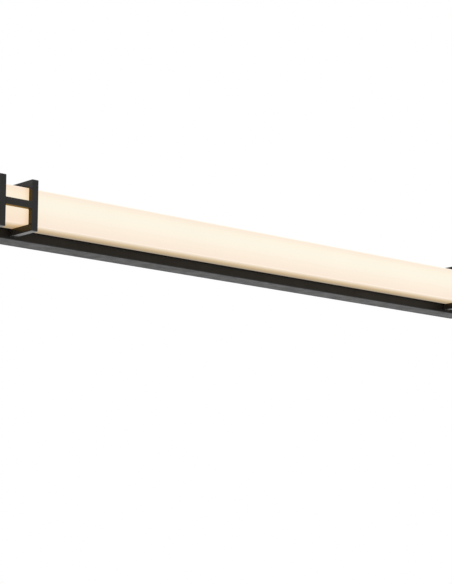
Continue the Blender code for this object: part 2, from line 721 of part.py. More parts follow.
def build_end_cap(side, word, fitting):
    corner = (DIFFUSER_FRONT + DIFFUSER_CORNER, DIFFUSER_TOP - DIFFUSER_CORNER)
    outline = mirrored([(CHANNEL_BACK, DIFFUSER_TOP), *arc(corner, DIFFUSER_CORNER, 90, 180, 6)])
    low, high = sorted((side * (END_X - END_CAP), side * END_X))
    cap = add(f"end_cap_{word}", prism(outline, low, high), "cage_paint", fitting, round_faces=True)
    ease(cap, EDGE_EASE)
    cuts = bmesh.new()
    for z in (-PORT_Z, PORT_Z):
        rod((low - SEAT_GAP, PORT_Y, z), "+X", END_CAP + 2 * SEAT_GAP, SCREW_RADIUS + SCREW_GAP, cuts)
    boolean(cap, helper(f"end_cap_{word}_cuts", cuts))
    for level, z in (("top", PORT_Z), ("bottom", -PORT_Z)):
        pan_screw(
            f"cap_screw_{word}_{level}", (side * (END_X + SCREW_GAP), PORT_Y, z),
            "-X" if side > 0 else "+X", END_CAP + PORT_SCREW_REACH - SEAT_GAP, "black_screw", fitting,
        )


# ---- Supply inside the canopy ---------------------------------------------------------------------------------
def driver_screw_places():
    """X and Z of the two screws through the driver's ears."""
    return ((DRIVER_START - DRIVER_EAR / 2, 0), (DRIVER_END + DRIVER_EAR / 2, 0))


def build_driver(fitting):
    """Plastic case with ears, its circuit board and a cover."""
    half = DRIVER_HEIGHT / 2
    front = DRIVER_BACK_FACE
    back = front + DRIVER_DEPTH - DRIVER_COVER - SEAT_GAP
    case = add(
        "driver_case", box((DRIVER_START, front, -half), (DRIVER_END, back, half)),
        "driver_plastic", fitting,
    )
    ears = bmesh.new()
    for start, end in (
        (DRIVER_START - DRIVER_EAR, DRIVER_START + DRIVER_WALL),
        (DRIVER_END - DRIVER_WALL, DRIVER_END + DRIVER_EAR),
    ):
        box((start, front, -half * 0.6), (end, front + DRIVER_EAR_THICKNESS, half * 0.6), ears)
    boolean(case, helper("driver_ears", ears), "UNION")
    cuts = box(
        (DRIVER_START + DRIVER_WALL, front + DRIVER_WALL, -half + DRIVER_WALL),
        (DRIVER_END - DRIVER_WALL, back + DRIVER_WALL, half - DRIVER_WALL),
    )
    for x, z in driver_screw_places():
        rod((x, front - SEAT_GAP, z), "+Y", 2 * DRIVER_EAR_THICKNESS, SCREW_RADIUS + SCREW_GAP, cuts)
    for x, y, z, radius in driver_wire_holes():
        rod((x - 2 * DRIVER_WALL, y, z), "+X", 4 * DRIVER_WALL, radius + SCREW_GAP, cuts)
    boolean(case, helper("driver_cuts", cuts))

    cover = box(
        (DRIVER_START, back + SEAT_GAP, -half), (DRIVER_END, back + SEAT_GAP + DRIVER_COVER, half)
    )
    ease(add("driver_cover", cover, "driver_plastic", fitting), EDGE_EASE)
    build_driver_board(front + DRIVER_WALL + SEAT_GAP, back, fitting)
    for i, (x, z) in enumerate(driver_screw_places(), 1):
        seat = (x, front + DRIVER_EAR_THICKNESS + SCREW_GAP, z)
        reach = DRIVER_EAR_THICKNESS + CANOPY_SHEET
        pan_screw(f"driver_screw_{i}", seat, "-Y", reach, "zinc", fitting)


def build_driver_board(front, back, fitting):
    """Circuit board with its transformer and two capacitors standing on it."""
    margin = DRIVER_WALL + 0.002
    half = DRIVER_HEIGHT / 2 - margin
    lift = 0.0015
    start, end = DRIVER_START + margin + 0.004, DRIVER_END - margin - 0.004
    thickness = 0.0016
    top = front + lift + thickness
    board = add(
        "driver_board", box((start, front + lift, -half), (end, top, half)), "circuit", fitting
    )
    room = back - top - 0.0015
    parts = bmesh.new()
    span = end - start
    sink = thickness / 2
    box((start + 0.38 * span, top - sink, -0.0095), (start + 0.56 * span, top + room, 0.0095), parts)
    for share in (0.16, 0.74):
        rod((start + share * span, top - sink, 0), "+Y", sink + room * 0.9, 0.0055, parts)
    box((start + 0.86 * span, top - sink, -0.006), (start + 0.94 * span, top + 0.006, 0.006), parts)
    boolean(board, helper("driver_components", parts), "UNION")


def driver_wire_holes():
    """X, Y, Z and radius of the holes for the supply leads and the low-voltage leads."""
    supply, dc = SUPPLY_LEAD_RADIUS, DC_LEAD_RADIUS
    return (
        (DRIVER_START, DRIVER_WIRE_Y, 0.005, supply),
        (DRIVER_START, DRIVER_WIRE_Y, -0.005, supply),
        (DRIVER_END, DRIVER_WIRE_Y, 0.0015, dc),
        (DRIVER_END, DRIVER_WIRE_Y, -0.0015, dc),
    )


def block_screw_x():
    return BLOCK_START + BLOCK_SIZE[0] / 2


def block_pole_z(number):
    return (number - (BLOCK_POLES - 1) / 2) * BLOCK_POLE_PITCH


def build_terminal_block(fitting):
    """Push-in connector for the supply, with a wire entry on each side of every pole."""
    length, depth, height = BLOCK_SIZE
    front = CANOPY_INSIDE + SEAT_GAP
    shape = box((BLOCK_START, front, -height / 2), (BLOCK_END, front + depth, height / 2))
    block = add("terminal_block", shape, "nylon", fitting)
    ease(block, 2 * EDGE_EASE)
    cuts = bmesh.new()
    for i in range(BLOCK_POLES):
        place = (BLOCK_WIRE_Y, block_pole_z(i))
        for x, back in ((BLOCK_START - SEAT_GAP, "+X"), (BLOCK_END + SEAT_GAP, "-X")):
            rod((x, *place), back, BLOCK_MOUTH_DEPTH + SEAT_GAP, BLOCK_MOUTH, cuts)
    screw_x = block_screw_x()
    rod((screw_x, front - SEAT_GAP, 0), "+Y", 2 * depth, SCREW_RADIUS + SCREW_GAP, cuts)
    recess = front + depth * 0.55
    rod((screw_x, recess, 0), "+Y", depth, SCREW_HEAD_RADIUS + SCREW_GAP, cuts)
    boolean(block, helper("block_cuts", cuts))
    seat = (screw_x, recess + SCREW_GAP, 0)
    pan_screw("block_screw", seat, "-Y", seat[1] - CANOPY_FRONT, "zinc", fitting)


def build_grommet(fitting):
    """Rubber ring where the low-voltage leads pass through the canopy."""
    front = CANOPY_FRONT - SCREW_GAP
    back = CANOPY_INSIDE + SCREW_GAP
    profile = [
        (0, GROMMET_BORE), (back - front + 2 * GROMMET_RIM, GROMMET_BORE),
        (back - front + 2 * GROMMET_RIM, GROMMET_FLANGE), (back - front + GROMMET_RIM, GROMMET_FLANGE),
        (back - front + GROMMET_RIM, GROMMET_NECK), (GROMMET_RIM, GROMMET_NECK),
        (GROMMET_RIM, GROMMET_FLANGE), (0, GROMMET_FLANGE),
    ]
    shape = turned(profile, "+Y", sides=20)
    add("lead_grommet", shape, "rubber", fitting, (GROMMET_X, front - GROMMET_RIM, 0), round_faces=True)


def build_earth(fitting, wall):
    """Ring terminal and screw that earth the canopy, and the rail's own earth screw."""
    x, z = EARTH_SCREW_AT
    plate = 0.0008
    front = CANOPY_INSIDE + SEAT_GAP
    profile = [
        (0, SCREW_RADIUS + SCREW_GAP), (plate, SCREW_RADIUS + SCREW_GAP), (plate, 0.0036), (0, 0.0036),
    ]
    ring = add("earth_terminal", turned(profile, "+Y"), "brass", fitting, (x, front, z))
    start = earth_barrel_start()
    barrel = rod((start[0] + 0.0065, start[1], z), "-X", 0.0065, SUPPLY_LEAD_RADIUS + 0.0005, None)
    tongue = box((x - 0.0062, front, z - 0.0013), (x - 0.0030, front + plate, z + 0.0013))
    boolean(ring, helper("earth_tongue", tongue), "UNION")
    boolean(ring, helper("earth_barrel", barrel), "UNION")
    seat = (x, front + plate + SCREW_GAP, z)
    pan_screw("earth_screw", seat, "-Y", seat[1] - CANOPY_FRONT, "brass", fitting)
    rail_x, rail_z = RAIL_EARTH_AT
    pan_screw(
        "rail_earth_screw", (rail_x, -RAIL_SHEET - SCREW_GAP, rail_z), "+Y", RAIL_SHEET, "brass", wall
    )


def earth_barrel_start():
    """Where the earth lead enters its ring terminal: the barrel's open end."""
    x, z = EARTH_SCREW_AT
    return (x - 0.0115, CANOPY_INSIDE + SEAT_GAP + SUPPLY_LEAD_RADIUS + 0.0005, z)


def build_leads(fitting):
    """Wires held between the terminal block, the driver, the earth terminal and the LED boards."""
    out = BLOCK_END + 0.004
    for name, pole, material, z in (
        ("lead_line", 2, "lead_black", 0.005),
        ("lead_neutral", 1, "lead_white", -0.005),
    ):
        pole_z = block_pole_z(pole)
        stops = [
            (BLOCK_END - 0.004, BLOCK_WIRE_Y, pole_z),
            (out, BLOCK_WIRE_Y, pole_z),
            (BLOCK_END + 0.025, BLOCK_WIRE_Y + 0.003, pole_z + (0.003 if z > 0 else -0.002)),
            (DRIVER_START - 0.030, DRIVER_WIRE_Y + 0.003, z + (0.004 if z > 0 else -0.004)),
            (DRIVER_START - 0.012, DRIVER_WIRE_Y, z),
            (DRIVER_START + 0.001, DRIVER_WIRE_Y, z),
        ]
        lead(name, stops, SUPPLY_LEAD_RADIUS, material, fitting)
    end = earth_barrel_start()
    pole_z = block_pole_z(0)
    stops = [
        (BLOCK_END - 0.004, BLOCK_WIRE_Y, pole_z),
        (out, BLOCK_WIRE_Y, pole_z),
        (BLOCK_END + 0.009, BLOCK_WIRE_Y - 0.001, pole_z - 0.004),
        (end[0] - 0.007, end[1], end[2] + 0.0015),
        (end[0] - SEAT_GAP, end[1], end[2]),
    ]
    lead("lead_earth", stops, SUPPLY_LEAD_RADIUS, "lead_green", fitting)
    through = CHANNEL_FRONT - CHANNEL_PEDESTAL
    for name, material, side in (("lead_positive", "lead_red", 1), ("lead_negative", "lead_black", -1)):
        z = side * 0.0015
        across = side * (DC_LEAD_RADIUS + SCREW_GAP)
        solder = BOARD_FRONT - SEAT_GAP - DC_LEAD_RADIUS
        stops = [
            (DRIVER_END - 0.001, DRIVER_WIRE_Y, z),
            (DRIVER_END + 0.014, DRIVER_WIRE_Y, z),
            (GROMMET_X - 0.016, DRIVER_WIRE_Y - 0.001, z),
            (GROMMET_X - 0.004, CANOPY_INSIDE + 0.006, across),
            (GROMMET_X, CANOPY_INSIDE, across),
            (GROMMET_X, through, across),
            (GROMMET_X - 0.0015, solder + 0.0004, across),
            (GROMMET_X - 0.007, solder, across),
        ]
        lead(name, stops, DC_LEAD_RADIUS, material, fitting)


# ---- The fitting ----------------------------------------------------------------------------------------------
def main():
    clear_scene()
    wall = empty("wall_side")
    fitting = empty("fitting")
    build_rail(wall)
    build_canopy(fitting)
    build_cages(fitting)
    build_channel(fitting)
    for number in range(1, BOARD_COUNT + 1):
        build_board(number, fitting)
    for number in range(1, BOARD_COUNT):
        build_jumper(number, fitting)
    build_diffuser(fitting)
    for side, word in ((-1, "left"), (1, "right")):
        build_end_plate(side, word, fitting)
        build_ear(side, word, wall)
        build_ear_nut(side, word, wall)
        build_side_screw(side, word)
        build_end_cap(side, word, fitting)
    build_driver(fitting)
    build_terminal_block(fitting)
    build_grommet(fitting)
    build_earth(fitting, wall)
    build_leads(fitting)


main()
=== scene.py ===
"""Look of the vanity light bar: finishes, the lit diffuser, finer screws and rungs, studio and camera.

Metres, in the frame's axes: +X along the bar, -Y into the room, +Z up. Colours are linear.
"""

import json
import math

import bmesh
import bpy
from mathutils import Matrix, Vector


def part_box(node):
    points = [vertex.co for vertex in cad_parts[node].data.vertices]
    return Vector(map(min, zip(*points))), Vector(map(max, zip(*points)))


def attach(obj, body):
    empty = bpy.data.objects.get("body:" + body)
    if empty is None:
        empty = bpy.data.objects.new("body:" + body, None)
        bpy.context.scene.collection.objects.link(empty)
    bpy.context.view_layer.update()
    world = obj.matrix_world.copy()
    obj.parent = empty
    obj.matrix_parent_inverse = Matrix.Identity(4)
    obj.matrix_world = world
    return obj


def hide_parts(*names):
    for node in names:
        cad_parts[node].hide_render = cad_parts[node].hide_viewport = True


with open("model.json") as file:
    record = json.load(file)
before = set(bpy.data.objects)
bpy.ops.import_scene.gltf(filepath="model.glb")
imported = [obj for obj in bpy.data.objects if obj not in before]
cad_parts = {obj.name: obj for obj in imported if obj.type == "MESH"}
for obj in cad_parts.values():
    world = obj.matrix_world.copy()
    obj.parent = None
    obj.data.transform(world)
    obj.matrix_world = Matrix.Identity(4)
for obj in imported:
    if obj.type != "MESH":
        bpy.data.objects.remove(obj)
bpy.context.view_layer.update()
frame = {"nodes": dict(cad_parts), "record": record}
NODES = frame["nodes"]
SIDES = ("left", "right")

# ---- Paint and glow ----------------------------------------------------------------------------------------
CAGE_COLOUR = (0.0245, 0.0236, 0.0226)
CAGE_ROUGHNESS = 0.16
CAGE_SPECULAR = 0.50
# the cage's black powder coat with painted shade: darker and warmer, for the shade on the canopy under the
# diffuser
CANOPY_SHADED_COLOUR = (0.0182, 0.0162, 0.0143)
CANOPY_ROUGHNESS = 0.40
CANOPY_SPECULAR = 0.24
PAINT_BUMP = 0.0004  # height of the orange peel
FINE_BUMP = 0.0002  # height of metal's and plastic's grain

DIFFUSER_BASE = (0.050, 0.048, 0.040)
DIFFUSER_ROUGHNESS = 0.30
DIFFUSER_SPECULAR = 0.3
ACRYLIC_IOR = 1.49
GLOW = 0.95
GLOW_DRIFT = (0.985, 1.005)  # least and most of the glow over the diffuser's length
SIDE_GLOSS = 0.11  # light that the diffuser's sides reflect besides their own glow
FRONT_FADE = (0.0012, 0.0050)  # depth over which the front's glow turns into the sides'

# ---- Studio ------------------------------------------------------------------------------------------------
GOLD_LIGHT = (1.0, 0.55, 0.08)
FRONT_GOLD_WATTS = 0.095
EDGE_GOLD_WATTS = 0.05
FRONT_GOLD_HEIGHT = 0.046
BOUNCE_INSET = 0.0010  # from the outer hoops, so that nothing leaks round the end caps
BOUNCE_GAP = 0.0002  # lamp to the diffuser's face
FRONT_LEVEL = 0.42  # studio light away from the bright backdrop and overhead light, which are at 1
BACKDROP_WAY = (0.67, 0.74, 0.0)
BACKDROP_SPREAD = (0.05, 0.60)
OVERHEAD_WAY = (0.0, 0.0, 1.0)
OVERHEAD_SPREAD = (0.45, 0.80)
FLOOR_DROP = 4.2  # low enough for a look at the light from below
FLOOR_REACH = 45.0
FLOOR_ROUGHNESS = 0.8

CAMERA_AT = (-1.7977, -1.9898, -0.5394)
CAMERA_YAW = 41.82
CAMERA_PITCH = 10.32
FOCAL_LENGTH = 113.34144  # mm, on the sensor below
SENSOR = 36.0  # mm
NEAREST, FARTHEST = 0.05, 50.0

# ---- Finer pieces ------------------------------------------------------------------------------------------
WELD_GAP = 0.00002
WELD_BEAD = 0.0006
WELD_STEPS = 5
RUNG_EASE = 0.00025
EASE_BULGE = 0.3  # of the ease, how far inside the corner its middle lies
SIDE_SCREW_HEAD = 0.0026
CAP_SCREW_HEAD = 0.0019
SHANK_SHARE = 0.5  # of the head's radius
SHANK_TAPER = 0.0010
TIP_SHARE = 0.6  # of the shank's radius
HEAD_FLAT = 0.45  # of the head's radius, round the recess
DOME_STEPS = 6
DOME_FALL = 0.8  # below 1, the dome keeps its height for longer
RIM_SHARE = 0.35  # of the head's height, where the dome meets the rim
SCREW_SIDES = 48
RECESS_MOUTH = (1.30, 1.15, 0.27)  # height in heads, then length and width in radii
RECESS_FLOOR = (0.30, 0.75, 0.20)
RECESS_TURNS = (45, 135)
SMOOTH_BELOW = 32  # degrees
WELD_DISTANCE = 1e-6


# ---- Node helpers ------------------------------------------------------------------------------------------
class Shader:
    """A material under construction: one Principled shader and the nodes that feed it."""

    def __init__(self, name, colour, roughness, metallic=0.0):
        self.material = bpy.data.materials.new(name)
        self.material.use_nodes = True
        self.tree = self.material.node_tree
        self.bsdf = self.tree.nodes["Principled BSDF"]
        self.set("Base Color", (*colour, 1.0))
        self.set("Roughness", roughness)
        self.set("Metallic", metallic)
        self.where = self.node("ShaderNodeTexCoord").outputs["Object"]

    def node(self, kind, inputs=None, **settings):
        made = self.tree.nodes.new(kind)
        for key, value in settings.items():
            setattr(made, key, value)
        for key, value in (inputs or {}).items():
            if isinstance(value, bpy.types.NodeSocket):
                self.tree.links.new(value, made.inputs[key])
            else:
                made.inputs[key].default_value = value
        return made

    def set(self, socket, value):
        if isinstance(value, bpy.types.NodeSocket):
            self.tree.links.new(value, self.bsdf.inputs[socket])
        else:
            self.bsdf.inputs[socket].default_value = value

    def noise(self, scale, detail=3.0, roughness=0.55, stretch=(1, 1, 1)):
        place = self.where
        if stretch != (1, 1, 1):
            place = self.node("ShaderNodeMapping", {"Vector": place, "Scale": stretch}).outputs[0]
        inputs = {"Vector": place, "Scale": scale, "Detail": detail, "Roughness": roughness}
        return self.node("ShaderNodeTexNoise", inputs).outputs["Fac"]

    def ramp(self, value, stops, low=0.0, high=1.0):
        """Colour ramp over (position, colour) stops, with value first mapped from low..high to 0..1."""
        if (low, high) != (0.0, 1.0):
            inputs = {"Value": value, "From Min": low, "From Max": high}
            value = self.node("ShaderNodeMapRange", inputs).outputs[0]
        made = self.node("ShaderNodeValToRGB", {"Fac": value})
        ends = made.color_ramp.elements
        while len(ends) < len(stops):
            ends.new(0.5)
        for element, (position, colour) in zip(ends, stops):
            element.position = position
            element.color = (*colour, 1.0)
        return made.outputs["Color"]

    def vary(self, socket, value, low, high, start=0.3, end=0.7):
        """Feeds a shader socket with a value mapped to low..high."""
        inputs = {"Value": value, "From Min": start, "From Max": end, "To Min": low, "To Max": high}
        self.set(socket, self.node("ShaderNodeMapRange", inputs).outputs[0])

    def bump(self, height, strength, distance):
        inputs = {"Height": height, "Strength": strength, "Distance": distance}
        self.set("Normal", self.node("ShaderNodeBump", inputs).outputs["Normal"])

    def blend(self, a, b, factor, blend_type="MIX"):
        made = self.node("ShaderNodeMix", {"Factor": factor}, data_type="RGBA", blend_type=blend_type)
        self.tree.links.new(a, made.inputs["A"])
        self.tree.links.new(b, made.inputs["B"])
        return made.outputs["Result"]


def scaled(colour, factor):
    return tuple(min(1.0, c * factor) for c in colour)


def powder_coat(name, colour, roughness, specular, grain, bump):
    """Fine orange-peel paint, a little uneven in tone and gloss."""
    made = Shader(name, colour, roughness)
    made.set("Specular IOR Level", specular)
    mottle = made.noise(26.0, 3.0)
    stops = [(0.30, scaled(colour, 0.84)), (0.52, colour), (0.72, scaled(colour, 1.22))]
    made.set("Base Color", made.ramp(mottle, stops))
    fine = made.noise(grain, 2.0, 0.6)
    made.vary("Roughness", made.noise(70.0, 4.0), roughness - 0.06, roughness + 0.07)
    made.bump(fine, bump, PAINT_BUMP)
    return made.material


def metal(name, colour, roughness, stretch, scale=420.0, bump=0.12):
    """Drawn or rolled metal with fine lines along its grain."""
    made = Shader(name, colour, roughness, 1.0)
    lines = made.noise(scale, 4.0, 0.6, stretch)
    blotch = made.noise(30.0, 3.0)
    stops = [(0.25, scaled(colour, 0.80)), (0.55, colour), (0.80, scaled(colour, 1.12))]
    made.set("Base Color", made.ramp(blotch, stops))
    made.vary("Roughness", lines, roughness - 0.08, roughness + 0.12)
    made.bump(lines, bump, FINE_BUMP)
    return made.material


def plastic(name, colour, roughness, grain=900.0, bump=0.10):
    """Moulded plastic with a fine spark texture."""
    made = Shader(name, colour, roughness)
    stops = [(0.30, scaled(colour, 0.93)), (0.70, scaled(colour, 1.05))]
    made.set("Base Color", made.ramp(made.noise(40.0, 3.0), stops))
    made.vary("Roughness", made.noise(120.0, 3.0), roughness - 0.05, roughness + 0.08)
    made.bump(made.noise(grain, 2.0), bump, FINE_BUMP)
    return made.material


def srgb(text):
    """Linear colour of a six-digit web colour."""
    parts = [int(text[i:i + 2], 16) / 255 for i in (0, 2, 4)]
    return tuple(c / 12.92 if c <= 0.04045 else ((c + 0.055) / 1.055) ** 2.4 for c in parts)


def dimmed(text, less):
    """A web colour as linear light, less what the surface reflects on top of it."""
    return tuple(max(0.0, c - less) for c in srgb(text))


def front_glow(made, z, low, high):
    """Glow of the diffuser's front, from its bottom to its top."""
    return made.ramp(
        z,
        [
            (0.00, srgb("fbe8d5")),
            (0.06, srgb("fdebd9")),
            (0.20, srgb("feefdb")),
            (0.40, srgb("fff4e1")),
            (0.62, srgb("fff7e5")),
            (0.80, srgb("fff5e1")),
            (0.90, srgb("feefdb")),
            (1.00, srgb("fbe9d9")),
        ],
        low.z, high.z,
    )


def side_glow(made, y, low, high):
    """Glow of the diffuser's sides, from its front to its back."""
    return made.ramp(
        y,
        [
            (0.00, dimmed("feeede", 0.04)),
            (0.13, dimmed("feeddb", 0.06)),
            (0.26, dimmed("f7e6d2", SIDE_GLOSS)),
            (0.38, dimmed("efdcc0", SIDE_GLOSS)),
            (0.50, dimmed("e6d0b0", SIDE_GLOSS)),
            (0.63, dimmed("dac4a4", 0.100)),
            (0.76, dimmed("ccb697", 0.085)),
            (0.88, dimmed("bcab94", 0.060)),
            (1.00, dimmed("aea291", 0.030)),
        ],
        low.y, high.y,
    )


def painted_window_shade(made, x):
    """Painted warm shade on the glow between a cage's two hoops: warmer and dimmer, most of all next to the
    inner one.
    """
    from_middle = made.node("ShaderNodeMath", {0: x}, operation="ABSOLUTE").outputs[0]
    return made.ramp(
        from_middle,
        [
            (0.00, (1.00, 1.00, 1.00)),
            (0.18, (0.94, 0.80, 0.64)),
            (0.25, (0.97, 0.87, 0.75)),
            (0.32, (1.00, 0.93, 0.85)),
            (0.45, (1.00, 0.95, 0.90)),
            (1.00, (1.00, 0.96, 0.93)),
        ],
        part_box("hoop_right_inner")[0].x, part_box("hoop_right_outer")[0].x,
    )


def opal():
    """Opal acrylic lit from behind: brightest over the front, warmer down it, fading along its sides towards
    the channel that the LED boards stand on."""
    low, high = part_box("diffuser")
    made = Shader("opal_acrylic", DIFFUSER_BASE, DIFFUSER_ROUGHNESS)
    made.set("IOR", ACRYLIC_IOR)
    made.set("Specular IOR Level", DIFFUSER_SPECULAR)
    split = made.node("ShaderNodeSeparateXYZ", {"Vector": made.where})
    depth = made.node(
        "ShaderNodeMapRange",
        {"Value": split.outputs["Y"], "From Min": low.y + FRONT_FADE[0], "From Max": low.y + FRONT_FADE[1]},
        interpolation_type="SMOOTHSTEP",
    )
    front = front_glow(made, split.outputs["Z"], low, high)
    side = side_glow(made, split.outputs["Y"], low, high)
    glow = made.blend(front, side, depth.outputs[0])
    # painted warm shade, multiplied into the glow between each cage's two hoops
    window_shade = painted_window_shade(made, split.outputs["X"])
    made.set("Emission Color", made.blend(glow, window_shade, 1.0, "MULTIPLY"))
    made.vary("Emission Strength", made.noise(9.0, 2.0), GLOW * GLOW_DRIFT[0], GLOW * GLOW_DRIFT[1])
    made.vary("Roughness", made.noise(60.0, 3.0), DIFFUSER_ROUGHNESS - 0.04, DIFFUSER_ROUGHNESS + 0.06)
    made.bump(made.noise(260.0, 2.0), 0.05, FINE_BUMP)
    return made.material


FINISHES = {
    "cage_paint": powder_coat("cage_powder_coat", CAGE_COLOUR, CAGE_ROUGHNESS, CAGE_SPECULAR, 1500.0, 0.16),
    # canopy: the same black powder coat, with painted shade in its darker, warmer colour
    "canopy_paint": powder_coat(
        "canopy_powder_coat_painted_shade", CANOPY_SHADED_COLOUR, CANOPY_ROUGHNESS, CANOPY_SPECULAR, 1100.0, 0.20
    ),
    "opal": opal(),
    "zinc": metal("zinc_plate", (0.60, 0.60, 0.58), 0.34, (1, 1, 1), 300.0),
    "black_aluminium": metal("black_anodising", (0.030, 0.029, 0.028), 0.38, (0.02, 1, 1)),
    "black_screw": metal("black_oxide", (0.030, 0.030, 0.032), 0.34, (1, 1, 1), 500.0),
    "board": plastic("solder_mask_white", (0.86, 0.86, 0.82), 0.35),
    "nylon": plastic("natural_nylon", (0.80, 0.78, 0.70), 0.45),
    "driver_plastic": plastic("driver_case_plastic", (0.74, 0.74, 0.72), 0.42),
    "circuit": plastic("solder_mask_green", (0.03, 0.17, 0.07), 0.38),
    "rubber": plastic("black_rubber", (0.018, 0.018, 0.018), 0.75, 600.0, 0.3),
    "lead_black": plastic("lead_insulation_black", (0.02, 0.02, 0.02), 0.40),
    "lead_white": plastic("lead_insulation_white", (0.80, 0.80, 0.77), 0.40),
    "lead_green": plastic("lead_insulation_green", (0.03, 0.24, 0.06), 0.40),
    "lead_red": plastic("lead_insulation_red", (0.50, 0.03, 0.02), 0.40),
    "brass": metal("brass", (0.72, 0.53, 0.24), 0.28, (1, 1, 1), 350.0),
}


def dress(obj, finish):
    obj.data.materials.clear()
    obj.data.materials.append(FINISHES[finish])


for part in frame["record"]["subparts"]:
    dress(NODES[part["node"]], part["material_slot"])


# ---- Finer pieces ------------------------------------------------------------------------------------------
def link(name, shape):
    """Turns a bmesh into a mesh object in the scene."""
    mesh = bpy.data.meshes.new(name)
    shape.to_mesh(mesh)
    shape.free()
    made = bpy.data.objects.new(name, mesh)
    bpy.context.scene.collection.objects.link(made)
    return made


def piece(name, shape, finish, body, node):
    """Finer piece that stands for a CAD node."""
    bmesh.ops.recalc_face_normals(shape, faces=shape.faces)
    made = link(name, shape)
    made.data.shade_smooth()
    made.data.set_sharp_from_angle(angle=math.radians(SMOOTH_BELOW))
    dress(made, finish)
    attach(made, body)
    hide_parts(node)


def eased_rectangle(half_depth, half_height, out):
    """Section of the rung with eased corners. Its front stays flush with the hoops and its other sides stand
    out."""
    back, top = half_depth + out, half_height + out
    points = []
    corners = ((-half_depth, -top), (back, -top), (back, top), (-half_depth, top))
    for number, (depth, height) in enumerate(corners):
        turn = [(0.0, 1.0), (EASE_BULGE, EASE_BULGE), (1.0, 0.0)]
        if number % 2 == 1:
            turn.reverse()
        for along, up in turn:
            y = depth - math.copysign(along * RUNG_EASE, depth)
            z = height - math.copysign(up * RUNG_EASE, height)
            points.append((y, z))
    return points


def bead_stations():
    """Distance from the hoop and how far the bead stands out there, as a hollow quarter round."""
    angles = [math.pi / 2 * step / WELD_STEPS for step in range(WELD_STEPS + 1)]
    return [(WELD_BEAD * (1 - math.cos(a)), WELD_BEAD * (1 - math.sin(a))) for a in angles]


def welded_rung(side):
    """Rung with a fine weld bead where it meets each hoop."""
    low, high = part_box(f"rung_{side}")
    hoops = [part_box(f"hoop_{side}_outer"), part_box(f"hoop_{side}_inner")]
    hoops.sort(key=lambda pair: pair[0].x)
    start, end = hoops[0][1].x + WELD_GAP, hoops[1][0].x - WELD_GAP
    middle, half = (low + high) / 2, (high - low) / 2
    places = [(start + along, out) for along, out in bead_stations()]
    places += [(end - along, out) for along, out in reversed(bead_stations())]
    shape = bmesh.new()
    rings = [
        [shape.verts.new((x, middle.y + y, middle.z + z)) for y, z in eased_rectangle(half.y, half.z, out)]
        for x, out in places
    ]
    for ring, following in zip(rings, rings[1:]):
        for i in range(len(ring)):
            j = (i + 1) % len(ring)
            shape.faces.new((ring[i], ring[j], following[j], following[i]))
    shape.faces.new(rings[0])
    shape.faces.new(rings[-1])
    piece(f"rung_{side}_welded", shape, "cage_paint", "fitting", f"rung_{side}")


def screw_profile(radius, head, reach):
    """Radius and place along the axis, from the top of the domed head to the tip. The seat is at 0."""
    shank = radius * SHANK_SHARE
    profile = [(0.0, head), (radius * HEAD_FLAT, head)]
    for step in range(1, DOME_STEPS + 1):
        angle = math.pi / 2 * step / DOME_STEPS
        out = HEAD_FLAT + (1 - HEAD_FLAT) * math.sin(angle)
        height = RIM_SHARE + (1 - RIM_SHARE) * math.cos(angle) ** DOME_FALL
        profile.append((radius * out, head * height))
    profile += [(radius, 0.0), (shank, 0.0), (shank, SHANK_TAPER - reach)]
    return profile + [(shank * TIP_SHARE, -reach), (0.0, -reach)]


def screw_blank(name, radius, head, reach):
    shape = bmesh.new()
    line = [shape.verts.new((along, out, 0.0)) for out, along in screw_profile(radius, head, reach)]
    for a, b in zip(line, line[1:]):
        shape.edges.new((a, b))
    bmesh.ops.spin(
        shape, geom=shape.verts[:] + shape.edges[:], axis=(1, 0, 0), cent=(0, 0, 0), angle=2 * math.pi,
        steps=SCREW_SIDES, use_merge=False,
    )
    bmesh.ops.remove_doubles(shape, verts=shape.verts, dist=WELD_DISTANCE)
    bmesh.ops.recalc_face_normals(shape, faces=shape.faces)
    return link(name, shape)


def recess_wing(name, radius, head, degrees):
    """Cutter for one bar of the cross, narrower and shorter at its floor."""
    shape = bmesh.new()
    bmesh.ops.create_cube(shape, size=1.0)
    for vert in shape.verts:
        height, length, width = RECESS_FLOOR if vert.co.x < 0 else RECESS_MOUTH
        vert.co = (head * height, vert.co.y * radius * length, vert.co.z * radius * width)
    turn = Matrix.Rotation(math.radians(degrees), 3, "X")
    bmesh.ops.rotate(shape, verts=shape.verts, cent=(0, 0, 0), matrix=turn)
    return link(name, shape)


def recessed_screw(node, head, body):
    """Pan-head screw along X with a cross recess, its head outwards."""
    low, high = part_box(node)
    middle, radius = (low + high) / 2, (high.z - low.z) / 2
    outer, tip = (high.x, low.x) if middle.x > 0 else (low.x, high.x)
    seat = outer - math.copysign(head, middle.x)
    blank = screw_blank(node + "_blank", radius, head, abs(seat - tip))
    wings = [recess_wing(node + "_wing", radius, head, degrees) for degrees in RECESS_TURNS]
    for wing in wings:
        cut = blank.modifiers.new("recess", "BOOLEAN")
        cut.operation = "DIFFERENCE"
        cut.object = wing
    bpy.context.view_layer.update()
    shape = bmesh.new()
    shape.from_mesh(blank.evaluated_get(bpy.context.evaluated_depsgraph_get()).data)
    for spare in [blank, *wings]:
        bpy.data.objects.remove(spare)
    place = Matrix.Translation((seat, middle.y, middle.z))
    if middle.x < 0:
        place = place @ Matrix.Rotation(math.pi, 4, "Z")
    shape.transform(place)
    piece(node + "_recessed", shape, "black_screw", body, node)


for side in SIDES:
    welded_rung(side)
    recessed_screw(f"side_screw_{side}", SIDE_SCREW_HEAD, "wall_side")
    for level in ("top", "bottom"):
        recessed_screw(f"cap_screw_{side}_{level}", CAP_SCREW_HEAD, "fitting")


